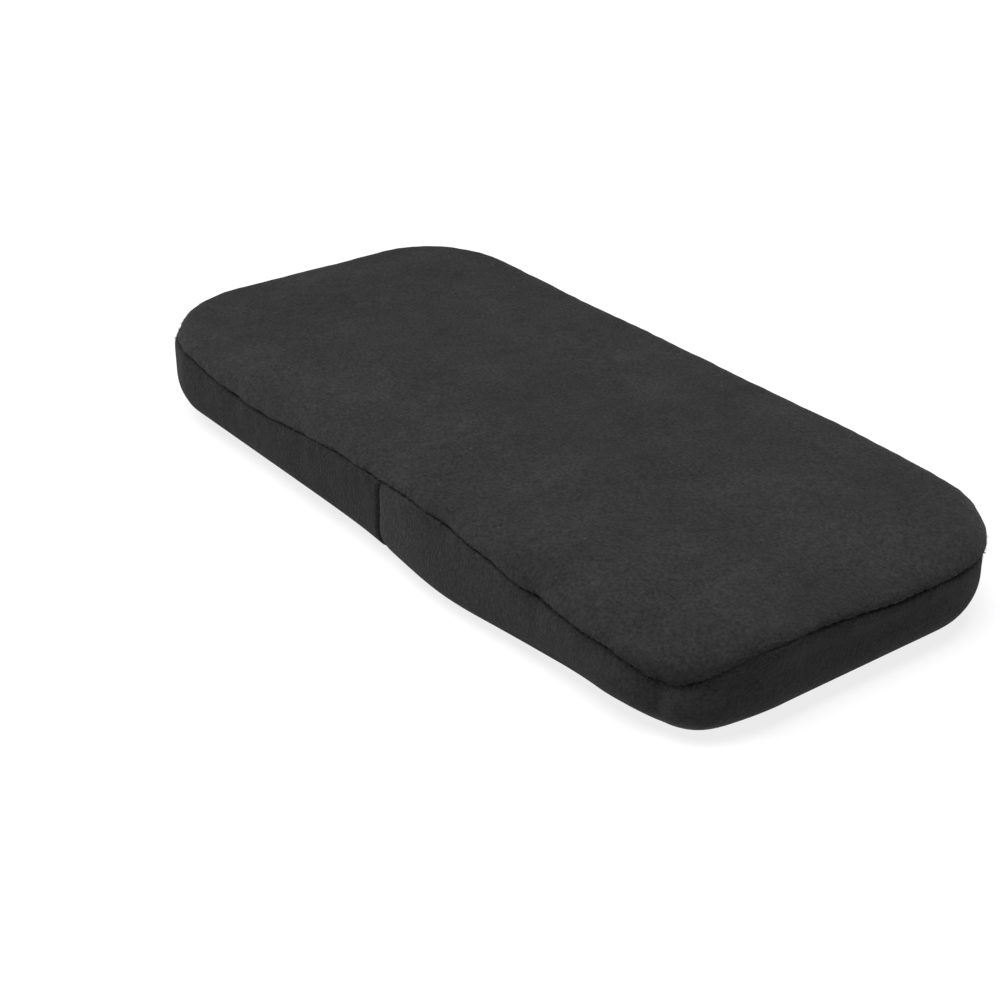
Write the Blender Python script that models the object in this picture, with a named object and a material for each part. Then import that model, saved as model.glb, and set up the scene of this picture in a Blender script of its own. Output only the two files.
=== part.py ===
"""Chair armrest pad: a foam block in a zipped velour cover, with two elastic straps underneath.

The origin is the middle of the underside. X runs along the pad and Y across it, with the upright join
of the side band at -Y and the zip at +Y. Z is up. All sizes are in metres.
"""

import math

import bmesh
import bpy
from mathutils import Vector

# The pad
LENGTH = 0.250
WIDTH = 0.120
HEIGHT = 0.030
CORNER_RADIUS = 0.033
TOP_ROUND = 0.009
BASE_ROUND = 0.013
CORNER_STEPS = 8
ROUND_STEPS = 5

# The cover
CLOTH = 0.0012
GAP = 0.0003
THREAD = 0.0003
SEAM_GAP = THREAD + 2 * GAP
TOP_SEAM_Z = 0.025
BASE_SEAM_Z = 0.0040
JOIN_X = 0.0065
JOIN_STEPS = 10

# The straps
STRAP_X = 0.055
STRAP_WIDTH = 0.020
STRAP_LENGTH = 0.100
STRAP_THICKNESS = 0.0012
STRAP_PRESSED = 0.0006
STRAP_SEWN = 0.010
STRAP_CORNER = 0.001
STITCH_MARGIN = 0.002

# The zip, whose slider is shown at its closed end
ZIP_Z = 0.0165
ZIP_HALF_LENGTH = 0.078
ZIP_WINDOW = 0.008
TAPE_WIDTH = 0.0072
TAPE_THICKNESS = 0.0005
TAPE_PARTING = 0.0016
TOOTH_PITCH = 0.0014
TOOTH_LENGTH = 0.0004
TOOTH_REACH = 0.0020
TOOTH_CROSSING = 0.0004
TOOTH_HEIGHT = 0.0015
TOOTH_SPINE = 0.0006
TEETH_PAST_SLIDER = 0.0022
STOP_LENGTH = 0.0020
STOP_X = 0.0758
STOP_LIP = 0.0004
TOPSTITCH_MARGIN = 0.0015

SLIDER_X = 0.070
SLIDER_LENGTH = 0.0085
SLIDER_PLATE = 0.0008
SLIDER_TAIL = 0.0020
SLIDER_WAIST = 0.0030
SLIDER_WAIST_X = 0.0002
SLIDER_SHOULDER = 0.0036
SLIDER_SHOULDER_X = 0.0018
SLIDER_CORNER = 0.0008
WEDGE_LENGTH = 0.0013
WEDGE_SETBACK = 0.0006
WEDGE_HALF = 0.0005
FLANGE_START = -0.0034
FLANGE_END = 0.0006
FLANGE_INNER = 0.0023
FLANGE_OUTER = 0.0029
FLANGE_DEPTH = 0.0011
BAIL_LENGTH = 0.0050
BAIL_WIDTH = 0.0010
BAIL_BAR = 0.0008
BAIL_OPENING = 0.0013

PULL_LENGTH = 0.020
PULL_WIDTH = 0.0044
PULL_THICKNESS = 0.0007
PULL_EYE_LENGTH = 0.0029
PULL_EYE_WIDTH = 0.0018
PULL_CORNER = 0.0012
PULL_EYE_CORNER = 0.0004
PULL_HOLE = 0.0008
PULL_HOLE_CORNER = 0.00079
PULL_HOLE_SETBACK = 0.0025

# Levels across the zip, from the inside out
WALL_Y = WIDTH / 2
TAPE_DEPTH = CLOTH + GAP
TAPE_FACE_Y = WALL_Y - TAPE_DEPTH
TAPE_BACK_Y = TAPE_FACE_Y - TAPE_THICKNESS
TOOTH_Y = TAPE_FACE_Y + GAP
PLATE_Y = TOOTH_Y + TOOTH_HEIGHT + GAP
BAIL_Y = PLATE_Y + SLIDER_PLATE
PULL_Y = BAIL_Y + BAIL_OPENING / 2
INNER_PLATE_Y = TAPE_BACK_Y - GAP - SLIDER_PLATE

# Past every face of the pad, for cutters
FAR = 0.2
TOLERANCE = 1e-6
SHARP_ANGLE = math.radians(35)
STRAPS = (("left", -STRAP_X), ("right", STRAP_X))


def clear_scene():
    """Start from an empty scene."""
    for obj in list(bpy.data.objects):
        bpy.data.objects.remove(obj, do_unlink=True)


def new_collection(name):
    """A collection linked to the scene."""
    collection = bpy.data.collections.new(name)
    bpy.context.scene.collection.children.link(collection)
    return collection


def new_material(name, colour, roughness, metallic=0.0):
    """A plain surface in one colour."""
    material = bpy.data.materials.new(name)
    material.use_nodes = True
    shader = material.node_tree.nodes["Principled BSDF"]
    shader.inputs["Base Color"].default_value = (*colour, 1.0)
    shader.inputs["Roughness"].default_value = roughness
    shader.inputs["Metallic"].default_value = metallic
    return material


clear_scene()
PARTS = new_collection("chair_armrest_pad")
CUTTERS = new_collection("cutters")

PLUSH = new_material("plush", (0.036, 0.036, 0.037), 0.95)
FOAM = new_material("memory_foam", (0.72, 0.70, 0.62), 0.9)
BASE_CLOTH = new_material("base_cloth", (0.018, 0.018, 0.019), 0.85)
ELASTIC = new_material("elastic", (0.014, 0.014, 0.015), 0.8)
SEWING_THREAD = new_material("thread", (0.022, 0.022, 0.023), 0.6)
ZIP_TAPE = new_material("zip_tape", (0.012, 0.012, 0.013), 0.8)
ZIP_NYLON = new_material("zip_nylon", (0.016, 0.016, 0.017), 0.35)
ZIP_METAL = new_material("zip_metal", (0.045, 0.045, 0.048), 0.3, 1.0)


def add_object(name, data, material=None):
    """A visible part with its material, or a hidden cutter where no material is given."""
    obj = bpy.data.objects.new(name, data)
    if material is None:
        CUTTERS.objects.link(obj)
        obj.hide_render = True
        obj.display_type = "WIRE"
    else:
        PARTS.objects.link(obj)
        data.materials.append(material)
    return obj


def mesh_from(bm, name, smooth=True):
    """The mesh of a finished bmesh, shaded smooth with its sharp edges kept."""
    bmesh.ops.recalc_face_normals(bm, faces=bm.faces)
    mesh = bpy.data.meshes.new(name)
    bm.to_mesh(mesh)
    bm.free()
    if smooth:
        mesh.shade_smooth()
        mesh.set_sharp_from_angle(angle=SHARP_ANGLE)
    return mesh


def add_cube(bm, low, high):
    """A box between two corners, added to a bmesh."""
    low, high = Vector(low), Vector(high)
    verts = bmesh.ops.create_cube(bm, size=1)["verts"]
    bmesh.ops.scale(bm, vec=high - low, verts=verts)
    bmesh.ops.translate(bm, vec=(low + high) / 2, verts=verts)


def box(name, low, high, material=None):
    """A box between two corners."""
    bm = bmesh.new()
    add_cube(bm, low, high)
    return add_object(name, mesh_from(bm, name, smooth=False), material)


def boolean(obj, operation, *others):
    """Cut, keep or join other objects, in the order given."""
    for other in others:
        modifier = obj.modifiers.new(operation.lower() + "_" + other.name, "BOOLEAN")
        modifier.operation = operation
        modifier.solver = "EXACT"
        modifier.object = other
    return obj


def bevel_rim(bm, height, radius):
    """Round the rim of the block where its flat face at this height meets its sides."""
    rim = [e for e in bm.edges if all(abs(v.co.z - height) < TOLERANCE for v in e.verts)]
    bmesh.ops.bevel(bm, geom=rim, offset=radius, segments=ROUND_STEPS, profile=0.5, affect="EDGES")


def pad_form(name, inset, material=None):
    """The pad's rounded block, with every face moved in by the inset."""
    bm = bmesh.new()
    shift = Vector((LENGTH / 2 - inset, WIDTH / 2 - inset, 0))
    add_cube(bm, -shift + Vector((0, 0, inset)), shift + Vector((0, 0, HEIGHT - inset)))
    upright = [e for e in bm.edges if abs(e.verts[0].co.z - e.verts[1].co.z) > HEIGHT / 2]
    bmesh.ops.bevel(
        bm, geom=upright, offset=CORNER_RADIUS - inset, segments=CORNER_STEPS, profile=0.5, affect="EDGES"
    )
    bevel_rim(bm, HEIGHT - inset, TOP_ROUND - inset)
    bevel_rim(bm, inset, BASE_ROUND - inset)
    return add_object(name, mesh_from(bm, name), material)


def inset_at(z):
    """How far the outer surface stands in from the pad's widest outline at this height."""
    if z > HEIGHT - TOP_ROUND:
        radius, rise = TOP_ROUND, z - (HEIGHT - TOP_ROUND)
    elif z < BASE_ROUND:
        radius, rise = BASE_ROUND, BASE_ROUND - z
    else:
        return 0.0
    return radius - math.sqrt(radius**2 - rise**2)


def outline(inset, z):
    """The pad's plan outline at this height: four straight sides joined by four arcs."""
    radius = CORNER_RADIUS - inset
    points = []
    for quarter, (sx, sy) in enumerate(((1, 1), (-1, 1), (-1, -1), (1, -1))):
        centre_x = sx * (LENGTH / 2 - CORNER_RADIUS)
        centre_y = sy * (WIDTH / 2 - CORNER_RADIUS)
        for step in range(CORNER_STEPS + 1):
            angle = (quarter + step / CORNER_STEPS) * math.pi / 2
            points.append((centre_x + radius * math.cos(angle), centre_y + radius * math.sin(angle), z))
    return points


def thread_run(name, points, closed=False):
    """Sewing thread through a list of points, as a round tube."""
    curve = bpy.data.curves.new(name, "CURVE")
    curve.dimensions = "3D"
    curve.bevel_depth = THREAD / 2
    curve.bevel_resolution = 1
    curve.use_fill_caps = True
    spline = curve.splines.new("POLY")
    spline.points.add(len(points) - 1)
    for point, co in zip(spline.points, points):
        point.co = (*co, 1.0)
    spline.use_cyclic_u = closed
    return add_object(name, curve, SEWING_THREAD)


def flat_plate(name, outlines, thickness, location, material=None):
    """A flat plate in the XZ plane from a filled outline, any further outlines being holes in it."""
    curve = bpy.data.curves.new(name, "CURVE")
    curve.dimensions = "2D"
    curve.fill_mode = "BOTH"
    curve.extrude = thickness / 2
    for points in outlines:
        spline = curve.splines.new("POLY")
        spline.points.add(len(points) - 1)
        for point, (x, z) in zip(spline.points, points):
            point.co = (x, z, 0.0, 1.0)
        spline.use_cyclic_u = True
    guide = bpy.data.objects.new(name + "_outline", curve)
    CUTTERS.objects.link(guide)
    guide.rotation_euler.x = math.pi / 2
    guide.location = location
    bpy.context.view_layer.update()
    mesh = bpy.data.meshes.new_from_object(guide.evaluated_get(bpy.context.evaluated_depsgraph_get()))
    bm = bmesh.new()
    bm.from_mesh(mesh)
    bmesh.ops.remove_doubles(bm, verts=bm.verts, dist=TOLERANCE)
    bpy.data.meshes.remove(mesh)
    plate = add_object(name, mesh_from(bm, name), material)
    plate.matrix_world = guide.matrix_world.copy()
    bpy.data.objects.remove(guide)
    return plate


def rounded_rectangle(x_low, x_high, half_height, radius, steps=4):
    """A rectangle centred on the X axis, with rounded corners."""
    corners = (
        (x_high - radius, half_height - radius),
        (x_low + radius, half_height - radius),
        (x_low + radius, radius - half_height),
        (x_high - radius, radius - half_height),
    )
    points = []
    for quarter, (x, y) in enumerate(corners):
        for step in range(steps + 1):
            angle = (quarter + step / steps) * math.pi / 2
            points.append((x + radius * math.cos(angle), y + radius * math.sin(angle)))
    return points


def strap_bed(name, x, margin, depth):
    """The hollow that a strap presses into the underside, widened by a margin."""
    half_width = STRAP_WIDTH / 2 + GAP + margin
    half_length = STRAP_LENGTH / 2 + GAP + margin
    return box(name, (x - half_width, -half_length, -FAR), (x + half_width, half_length, depth))


def strap_beds(name, margin, depth):
    """The hollows of both straps."""
    return [strap_bed(name + "_" + side, x, margin, depth) for side, x in STRAPS]


def make_cover(hollow):
    """The velour panels and bands of the cover, and its base cloth."""
    bed_depth = STRAP_THICKNESS + GAP
    half_seam = SEAM_GAP / 2
    above_seam = box("keep_above_top_seam", (-FAR, -FAR, TOP_SEAM_Z + half_seam), (FAR, FAR, FAR))
    below_seam = box("keep_below_base_seam", (-FAR, -FAR, -FAR), (FAR, FAR, BASE_SEAM_Z - half_seam))
    band_low, band_high = BASE_SEAM_Z + half_seam, TOP_SEAM_Z - half_seam
    left_band = box("keep_left_band", (-FAR, -FAR, band_low), (JOIN_X - half_seam, FAR, band_high))
    right_band = box("keep_right_band", (JOIN_X + half_seam, -FAR, band_low), (FAR, FAR, band_high))
    window_end = ZIP_HALF_LENGTH + half_seam
    window = box("zip_window", (-window_end, 0, -FAR), (window_end, FAR, FAR))

    top = pad_form("top_panel", 0, PLUSH)
    boolean(top, "INTERSECT", above_seam)
    boolean(top, "DIFFERENCE", hollow)

    for name, band in (("boxing_left", left_band), ("boxing_right", right_band)):
        boxing = pad_form(name, 0, PLUSH)
        boolean(boxing, "INTERSECT", band)
        boolean(boxing, "DIFFERENCE", window, hollow)

    strip_end = ZIP_HALF_LENGTH - half_seam
    half_window = ZIP_WINDOW / 2
    strips = (("upper", ZIP_Z + half_window, band_high), ("lower", band_low, ZIP_Z - half_window))
    for side, low, high in strips:
        strip = pad_form("zip_strip_" + side, 0, PLUSH)
        keep = box("keep_strip_" + side, (-strip_end, 0, low), (strip_end, FAR, high))
        boolean(strip, "INTERSECT", keep)
        boolean(strip, "DIFFERENCE", hollow)

    base_hollow = pad_form("base_hollow", CLOTH)
    boolean(base_hollow, "DIFFERENCE", *strap_beds("bed_lining", CLOTH, bed_depth + CLOTH))
    base = pad_form("bottom_panel", 0, BASE_CLOTH)
    boolean(base, "INTERSECT", below_seam)
    boolean(base, "DIFFERENCE", *strap_beds("strap_bed", 0, bed_depth), base_hollow)


def make_foam():
    """The foam block, grooved where the zip lies against it and where the straps press in."""
    foam = pad_form("foam_core", CLOTH + GAP, FOAM)
    tape_end = ZIP_HALF_LENGTH + GAP
    tape_half = TAPE_PARTING / 2 + TAPE_WIDTH + GAP
    under_tape = pad_form("foam_under_tape", TAPE_DEPTH + TAPE_THICKNESS + GAP)
    tape_bed = box("tape_bed", (-tape_end, 0, ZIP_Z - tape_half), (tape_end, FAR, ZIP_Z + tape_half))
    boolean(tape_bed, "DIFFERENCE", under_tape)
    slider_groove = box(
        "slider_groove",
        (-tape_end, INNER_PLATE_Y - GAP, ZIP_Z - SLIDER_SHOULDER - GAP),
        (tape_end, FAR, ZIP_Z + SLIDER_SHOULDER + GAP),
    )
    boolean(foam, "DIFFERENCE", tape_bed, slider_groove)
    boolean(foam, "DIFFERENCE", *strap_beds("foam_bed", CLOTH + GAP, STRAP_THICKNESS + CLOTH + 2 * GAP))


def make_seam_threads():
    """The threads of the two seams round the pad, of the upright joins, and of the zip's topstitching."""
    for name, z in (("top_seam_thread", TOP_SEAM_Z), ("bottom_seam_thread", BASE_SEAM_Z)):
        thread_run(name, outline(inset_at(z) + CLOTH / 2, z), closed=True)

    low, high = BASE_SEAM_Z + SEAM_GAP, TOP_SEAM_Z - SEAM_GAP
    heights = [low + (high - low) * step / JOIN_STEPS for step in range(JOIN_STEPS + 1)]
    joins = (
        ("front_join_thread", JOIN_X, -1),
        ("zip_end_thread_left", -ZIP_HALF_LENGTH, 1),
        ("zip_end_thread_right", ZIP_HALF_LENGTH, 1),
    )
    for name, x, side in joins:
        thread_run(name, [(x, side * (WALL_Y - CLOTH / 2 - inset_at(z)), z) for z in heights])

    end = ZIP_HALF_LENGTH - SEAM_GAP
    y = WALL_Y + GAP + THREAD / 2
    for side, sign in (("upper", 1), ("lower", -1)):
        z = ZIP_Z + sign * (ZIP_WINDOW / 2 + TOPSTITCH_MARGIN)
        thread_run("zip_stitching_" + side, [(-end, y, z), (0, y, z), (end, y, z)])


def make_zip_tapes():
    """The two woven tapes, which follow the inside of the cover."""
    under_tape = pad_form("tape_hollow", TAPE_DEPTH + TAPE_THICKNESS)
    end = ZIP_HALF_LENGTH
    for side, sign in (("upper", 1), ("lower", -1)):
        edges = (ZIP_Z + sign * TAPE_PARTING / 2, ZIP_Z + sign * (TAPE_PARTING / 2 + TAPE_WIDTH))
        keep = box("keep_tape_" + side, (-end, 0, min(edges)), (end, FAR, max(edges)))
        tape = pad_form("zip_tape_" + side, TAPE_DEPTH, ZIP_TAPE)
        boolean(tape, "INTERSECT", keep)
        boolean(tape, "DIFFERENCE", under_tape)


def comb_outline(start, count, sign):
    """Teeth along a spine: the spine lies away from the middle line, and the teeth reach past it."""
    spine = sign * TOOTH_REACH
    root = sign * (TOOTH_REACH - TOOTH_SPINE)
    tip = -sign * TOOTH_CROSSING
    end = start + (count - 1) * TOOTH_PITCH + TOOTH_LENGTH
    teeth = []
    for tooth in range(count):
        x = start + tooth * TOOTH_PITCH
        teeth += [(x, root), (x, tip), (x + TOOTH_LENGTH, tip), (x + TOOTH_LENGTH, root)]
    return [(start, spine), *teeth[1:-1], (end, spine)]


def make_zip_teeth():
    """The two meshed rows of teeth. Each row crosses the middle line into the gaps of the other."""
    start = STOP_LENGTH / 2 + GAP - STOP_X
    count = int((SLIDER_X + TEETH_PAST_SLIDER - start) / TOOTH_PITCH)
    for side, sign, offset in (("upper", 1, 0), ("lower", -1, TOOTH_PITCH / 2)):
        comb = comb_outline(start + offset, count, sign)
        location = (0, TOOTH_Y + TOOTH_HEIGHT / 2, ZIP_Z)
        flat_plate("zip_teeth_" + side, [comb], TOOTH_HEIGHT, location, ZIP_NYLON)


def make_zip_stops():
    """A stop past the closed end of each row of teeth, and one across both tapes at the open end."""
    half_length = STOP_LENGTH / 2
    reach = TOOTH_REACH + STOP_LIP
    clearance = TAPE_PARTING / 2 - GAP
    top = TOOTH_Y + TOOTH_HEIGHT
    stops = (
        ("zip_top_stop_upper", STOP_X, clearance, reach),
        ("zip_top_stop_lower", STOP_X, -reach, -clearance),
        ("zip_bottom_stop", -STOP_X, -reach, reach),
    )
    for name, x, low, high in stops:
        box(
            name,
            (x - half_length, TOOTH_Y, ZIP_Z + low),
            (x + half_length, top, ZIP_Z + high),
            ZIP_METAL,
        )


def slider_outline():
    """Half-widths along the slider: narrow at the tail, widening to rounded shoulders at the nose."""
    half = SLIDER_LENGTH / 2
    upper = [
        (-half, SLIDER_TAIL),
        (-half + SLIDER_CORNER, SLIDER_TAIL + SLIDER_CORNER),
        (SLIDER_WAIST_X, SLIDER_WAIST),
        (SLIDER_SHOULDER_X, SLIDER_SHOULDER),
        (half - SLIDER_CORNER, SLIDER_SHOULDER),
        (half, SLIDER_SHOULDER - SLIDER_CORNER),
    ]
    return upper + [(x, -z) for x, z in reversed(upper)]


def make_slider():
    """The slider: two plates joined by a wedge at the nose, flanges beside the teeth, and a bail."""
    outer_y = PLATE_Y + SLIDER_PLATE / 2
    inner_y = INNER_PLATE_Y + SLIDER_PLATE / 2
    outlines = [slider_outline()]
    slider = flat_plate("zip_slider", outlines, SLIDER_PLATE, (SLIDER_X, outer_y, ZIP_Z), ZIP_METAL)
    inner = flat_plate("slider_inner_plate", outlines, SLIDER_PLATE, (SLIDER_X, inner_y, ZIP_Z))

    wedge_end = SLIDER_X + SLIDER_LENGTH / 2 - WEDGE_SETBACK
    overlap = SLIDER_PLATE / 2
    wedge = box(
        "slider_wedge",
        (wedge_end - WEDGE_LENGTH, inner_y, ZIP_Z - WEDGE_HALF),
        (wedge_end, outer_y, ZIP_Z + WEDGE_HALF),
    )
    flanges = [
        box(
            "slider_flange" + side,
            (SLIDER_X + FLANGE_START, PLATE_Y - FLANGE_DEPTH, ZIP_Z + low),
            (SLIDER_X + FLANGE_END, PLATE_Y + overlap, ZIP_Z + high),
        )
        for side, low, high in (
            ("_upper", FLANGE_INNER, FLANGE_OUTER),
            ("_lower", -FLANGE_OUTER, -FLANGE_INNER),
        )
    ]
    half_bail = BAIL_LENGTH / 2
    bail = box(
        "slider_bail",
        (SLIDER_X - half_bail, BAIL_Y - overlap, ZIP_Z - BAIL_WIDTH / 2),
        (SLIDER_X + half_bail, BAIL_Y + BAIL_OPENING + BAIL_BAR, ZIP_Z + BAIL_WIDTH / 2),
    )
    opening = half_bail - BAIL_BAR
    bail_opening = box(
        "bail_opening", (SLIDER_X - opening, BAIL_Y, -FAR), (SLIDER_X + opening, BAIL_Y + BAIL_OPENING, FAR)
    )
    boolean(slider, "UNION", inner, wedge, *flanges, bail)
    boolean(slider, "DIFFERENCE", bail_opening)


def make_pull():
    """The pull tab, lying back over the closed teeth, with its eye bar through the slider's bail."""
    bar = PULL_THICKNESS / 2
    eye_end = -bar - PULL_EYE_LENGTH
    body = rounded_rectangle(-PULL_LENGTH, bar, PULL_WIDTH / 2, PULL_CORNER)
    eye = rounded_rectangle(eye_end, -bar, PULL_EYE_WIDTH / 2, PULL_EYE_CORNER, steps=2)
    hole_x = -PULL_LENGTH + PULL_HOLE_SETBACK
    hole = rounded_rectangle(hole_x - PULL_HOLE, hole_x + PULL_HOLE, PULL_HOLE, PULL_HOLE_CORNER)
    flat_plate("zip_pull", [body, eye, hole], PULL_THICKNESS, (SLIDER_X, PULL_Y, ZIP_Z), ZIP_METAL)


def make_strap(side, x):
    """An elastic strap across the underside, its sewn ends pressed thin by their stitching."""
    name = "strap_" + side
    bm = bmesh.new()
    half_width, half_length = STRAP_WIDTH / 2, STRAP_LENGTH / 2
    add_cube(bm, (x - half_width, -half_length, 0), (x + half_width, half_length, STRAP_THICKNESS))
    upright = [e for e in bm.edges if abs(e.verts[0].co.z - e.verts[1].co.z) > STRAP_THICKNESS / 2]
    bmesh.ops.bevel(bm, geom=upright, offset=STRAP_CORNER, segments=3, profile=0.5, affect="EDGES")
    strap = add_object(name, mesh_from(bm, name), ELASTIC)
    sewn_from = half_length - STRAP_SEWN
    for end, low, high in (("_front", -FAR, -sewn_from), ("_rear", sewn_from, FAR)):
        pressed = box(name + "_pressed" + end, (x - FAR, low, -FAR), (x + FAR, high, STRAP_PRESSED))
        boolean(strap, "DIFFERENCE", pressed)


def make_strap_stitching():
    """A box of stitches under each strap end."""
    half_width = STRAP_WIDTH / 2 - STITCH_MARGIN
    outer = STRAP_LENGTH / 2 - STITCH_MARGIN
    inner = STRAP_LENGTH / 2 - STRAP_SEWN + STITCH_MARGIN / 2
    z = THREAD / 2
    for strap, x in STRAPS:
        for end, side in (("front", -1), ("rear", 1)):
            corners = [
                (x - half_width, side * inner, z),
                (x + half_width, side * inner, z),
                (x + half_width, side * outer, z),
                (x - half_width, side * outer, z),
            ]
            thread_run("strap_stitching_" + strap + "_" + end, corners, closed=True)


def main():
    """Build the whole pad."""
    hollow = pad_form("cover_hollow", CLOTH)
    make_cover(hollow)
    make_foam()
    make_seam_threads()
    make_zip_tapes()
    make_zip_teeth()
    make_zip_stops()
    make_slider()
    make_pull()
    for side, x in STRAPS:
        make_strap(side, x)
    make_strap_stitching()


main()
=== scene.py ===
"""The looks of the chair armrest pad: a plush cover over foam, its seams, zip, base cloth and straps.

X runs along the pad, Y across it with the zip at +Y, and Z is up. All sizes are in metres. A place on
the cover is given by u, how far round the pad it is from the middle of the front, going towards +X,
and by s, how far down the side's section it is from the edge of the flat top.
"""

import math

import bpy
import numpy as np
from mathutils import Matrix, Vector
from mathutils.geometry import delaunay_2d_cdt
from mathutils.kdtree import KDTree


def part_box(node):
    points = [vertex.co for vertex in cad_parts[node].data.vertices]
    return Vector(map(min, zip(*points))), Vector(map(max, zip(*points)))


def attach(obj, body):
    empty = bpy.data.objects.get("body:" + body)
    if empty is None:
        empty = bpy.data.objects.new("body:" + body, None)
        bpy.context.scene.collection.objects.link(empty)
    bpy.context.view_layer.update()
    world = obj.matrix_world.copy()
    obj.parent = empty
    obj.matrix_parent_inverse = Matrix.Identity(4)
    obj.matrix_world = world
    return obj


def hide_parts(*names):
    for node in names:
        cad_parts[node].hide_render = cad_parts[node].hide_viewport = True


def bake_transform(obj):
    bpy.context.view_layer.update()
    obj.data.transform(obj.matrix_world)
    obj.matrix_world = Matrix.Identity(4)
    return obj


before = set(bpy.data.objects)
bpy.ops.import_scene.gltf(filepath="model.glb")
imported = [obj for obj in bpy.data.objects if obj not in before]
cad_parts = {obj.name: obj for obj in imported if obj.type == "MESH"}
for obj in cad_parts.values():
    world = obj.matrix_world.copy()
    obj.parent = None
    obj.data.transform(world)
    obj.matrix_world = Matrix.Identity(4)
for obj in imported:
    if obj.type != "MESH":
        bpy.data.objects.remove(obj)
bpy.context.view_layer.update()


def middle(node):
    """The middle of a CAD node's box."""
    low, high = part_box(node)
    return (low + high) / 2


# The pad's block, from the frame and with the roundings of its foam
HALF_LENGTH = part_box("boxing_right")[1].x
HALF_WIDTH = -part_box("boxing_right")[0].y
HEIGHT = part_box("top_panel")[1].z
CORNER_RADIUS = 0.033
TOP_ROUND = 0.009
BASE_ROUND = 0.013
SIDE_X = HALF_LENGTH - CORNER_RADIUS
SIDE_Y = HALF_WIDTH - CORNER_RADIUS
CORNER_ARC = CORNER_RADIUS * math.pi / 2
AROUND = 4 * (SIDE_X + SIDE_Y + CORNER_ARC)
TOP_ARC = TOP_ROUND * math.pi / 2
WALL = HEIGHT - TOP_ROUND - BASE_ROUND
BASE_ARC = BASE_ROUND * math.pi / 2
SECTION = TOP_ARC + WALL + BASE_ARC

# Seams, and places round the pad: the near and far corners of its right end, and the middle between them
TOP_SEAM_Z = middle("top_seam_thread").z
BASE_SEAM_Z = middle("bottom_seam_thread").z
JOIN_X = middle("front_join_thread").x
ZIP_END_X = middle("zip_end_thread_right").x
NEAR_CORNER = SIDE_X + CORNER_ARC * 0.55
END_MIDDLE = SIDE_X + CORNER_ARC + SIDE_Y
FAR_CORNER = END_MIDDLE + SIDE_Y + CORNER_ARC / 2

# Where the top seam sags: (metres round the pad, depth, reach)
SEAM_SAGS = (
    (-0.062, 0.0037, 0.034),
    (SIDE_X - 0.014, 0.0044, 0.034),
    (NEAR_CORNER - 0.006, 0.0056, 0.010),
    (FAR_CORNER - 0.006, 0.0034, 0.014),
)

# How far the cover is drawn in along its seams, where the top one is deeper, and how wide each valley is
VALLEY = 0.0005
VALLEY_DEEP = ((0.034, 0.0013, 0.024), (0.088, 0.0010, 0.032), (END_MIDDLE, 0.0004, 0.040))
VALLEY_ABOVE, VALLEY_BELOW = 0.0046, 0.0024
VALLEY_WAVE = 0.05
BASE_VALLEY, BASE_VALLEY_REACH = 0.0006, 0.0025
JOIN_VALLEY, JOIN_VALLEY_REACH, JOIN_VALLEY_END = 0.0007, 0.0016, 0.0012

# Small puckers in the cloth along the top seam: their depth, spacing and reach, and how drawn out they are
PUCKER, PUCKER_WAVE, PUCKER_REACH = 0.00030, 0.0075, 0.0035
PUCKER_STRETCH = 0.4

# How far the side band is tucked in under the top panel's edge, and where: at the pad's right end
BAND_TUCK = 0.0021
BAND_TUCK_AT = END_MIDDLE + 0.010
BAND_TUCK_REACH = 0.050
BAND_TUCK_DOWN = 0.0045

# Where brushed pile fills the groove along a seam, how far round, and by what share, and how unevenly the
# groove is filled elsewhere
FILLED_AT = NEAR_CORNER + 0.011
FILLED_REACH = 0.018
FILLED_SHARE = 0.8
FILLED_UNEVEN = 0.6
FILLED_WAVE = 0.018

# Where the stuffing fills the cover out: (metres round the pad, metres down the side, height, and the
# reach round and down)
FULL_PLACES = (
    (0.034, 0.031, 0.0026, 0.026, 0.009),
    (NEAR_CORNER, 0.030, 0.0022, 0.011, 0.011),
    (NEAR_CORNER - 0.017, 0.022, 0.0005, 0.0055, 0.0045),
    (NEAR_CORNER - 0.009, 0.023, -0.0013, 0.0018, 0.007),
    (NEAR_CORNER - 0.005, 0.021, 0.0008, 0.0022, 0.005),
    (0.090, 0.034, -0.0010, 0.016, 0.010),
    (0.030, 0.009, 0.0010, 0.060, 0.0042),
    (NEAR_CORNER, 0.009, 0.0020, 0.020, 0.0045),
    (END_MIDDLE + 0.008, 0.001, -0.0010, 0.036, 0.005),
    (END_MIDDLE + 0.008, 0.010, 0.0020, 0.040, 0.0042),
    (END_MIDDLE, 0.020, -0.0006, 0.026, 0.0050),
)

# Where the cover's top falls away: (x, y, depth, and the reach along x and y), and the heights over which
# the fall sets in
DROOPS = (
    (0.129, 0.015, 0.0035, 0.020, 0.026),
    (0.116, -0.056, 0.0036, 0.022, 0.016),
)
DROOP_FROM, DROOP_TO = BASE_ROUND * 0.6, HEIGHT - 0.004

# The cover's cloth
CELL = 0.0013
CLOTH_SHOWN = 0.0005
EDGE_ROLL = 0.0013
EDGE_TUCK = 0.0021
SEAM_SPLIT = 0.00004
CROWN = 0.0004
UNEVEN, UNEVEN_WAVE = 0.0003, 0.055
BASE_CLOTH_Z = 0.0004
TOP_MARGIN = 0.010
BASE_MARGIN = TOP_MARGIN / 4
PRESS_DEPTH = 0.00005
PRESS_START, PRESS_END = 0.0004, 0.0024

# Stuffing: how slack the cover starts, and how far its cloth may move
SLACK = 0.0010
MOST_SWELL = 0.0011
STUFFING_VOXEL = 0.005
STUFFING_PRESSURE = 4.0
STUFFING_FRAMES = 20
STUFFING_NEIGHBOURS = 10
HELD_REACH = 0.0035
FOAM_INSET = 0.0036

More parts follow.
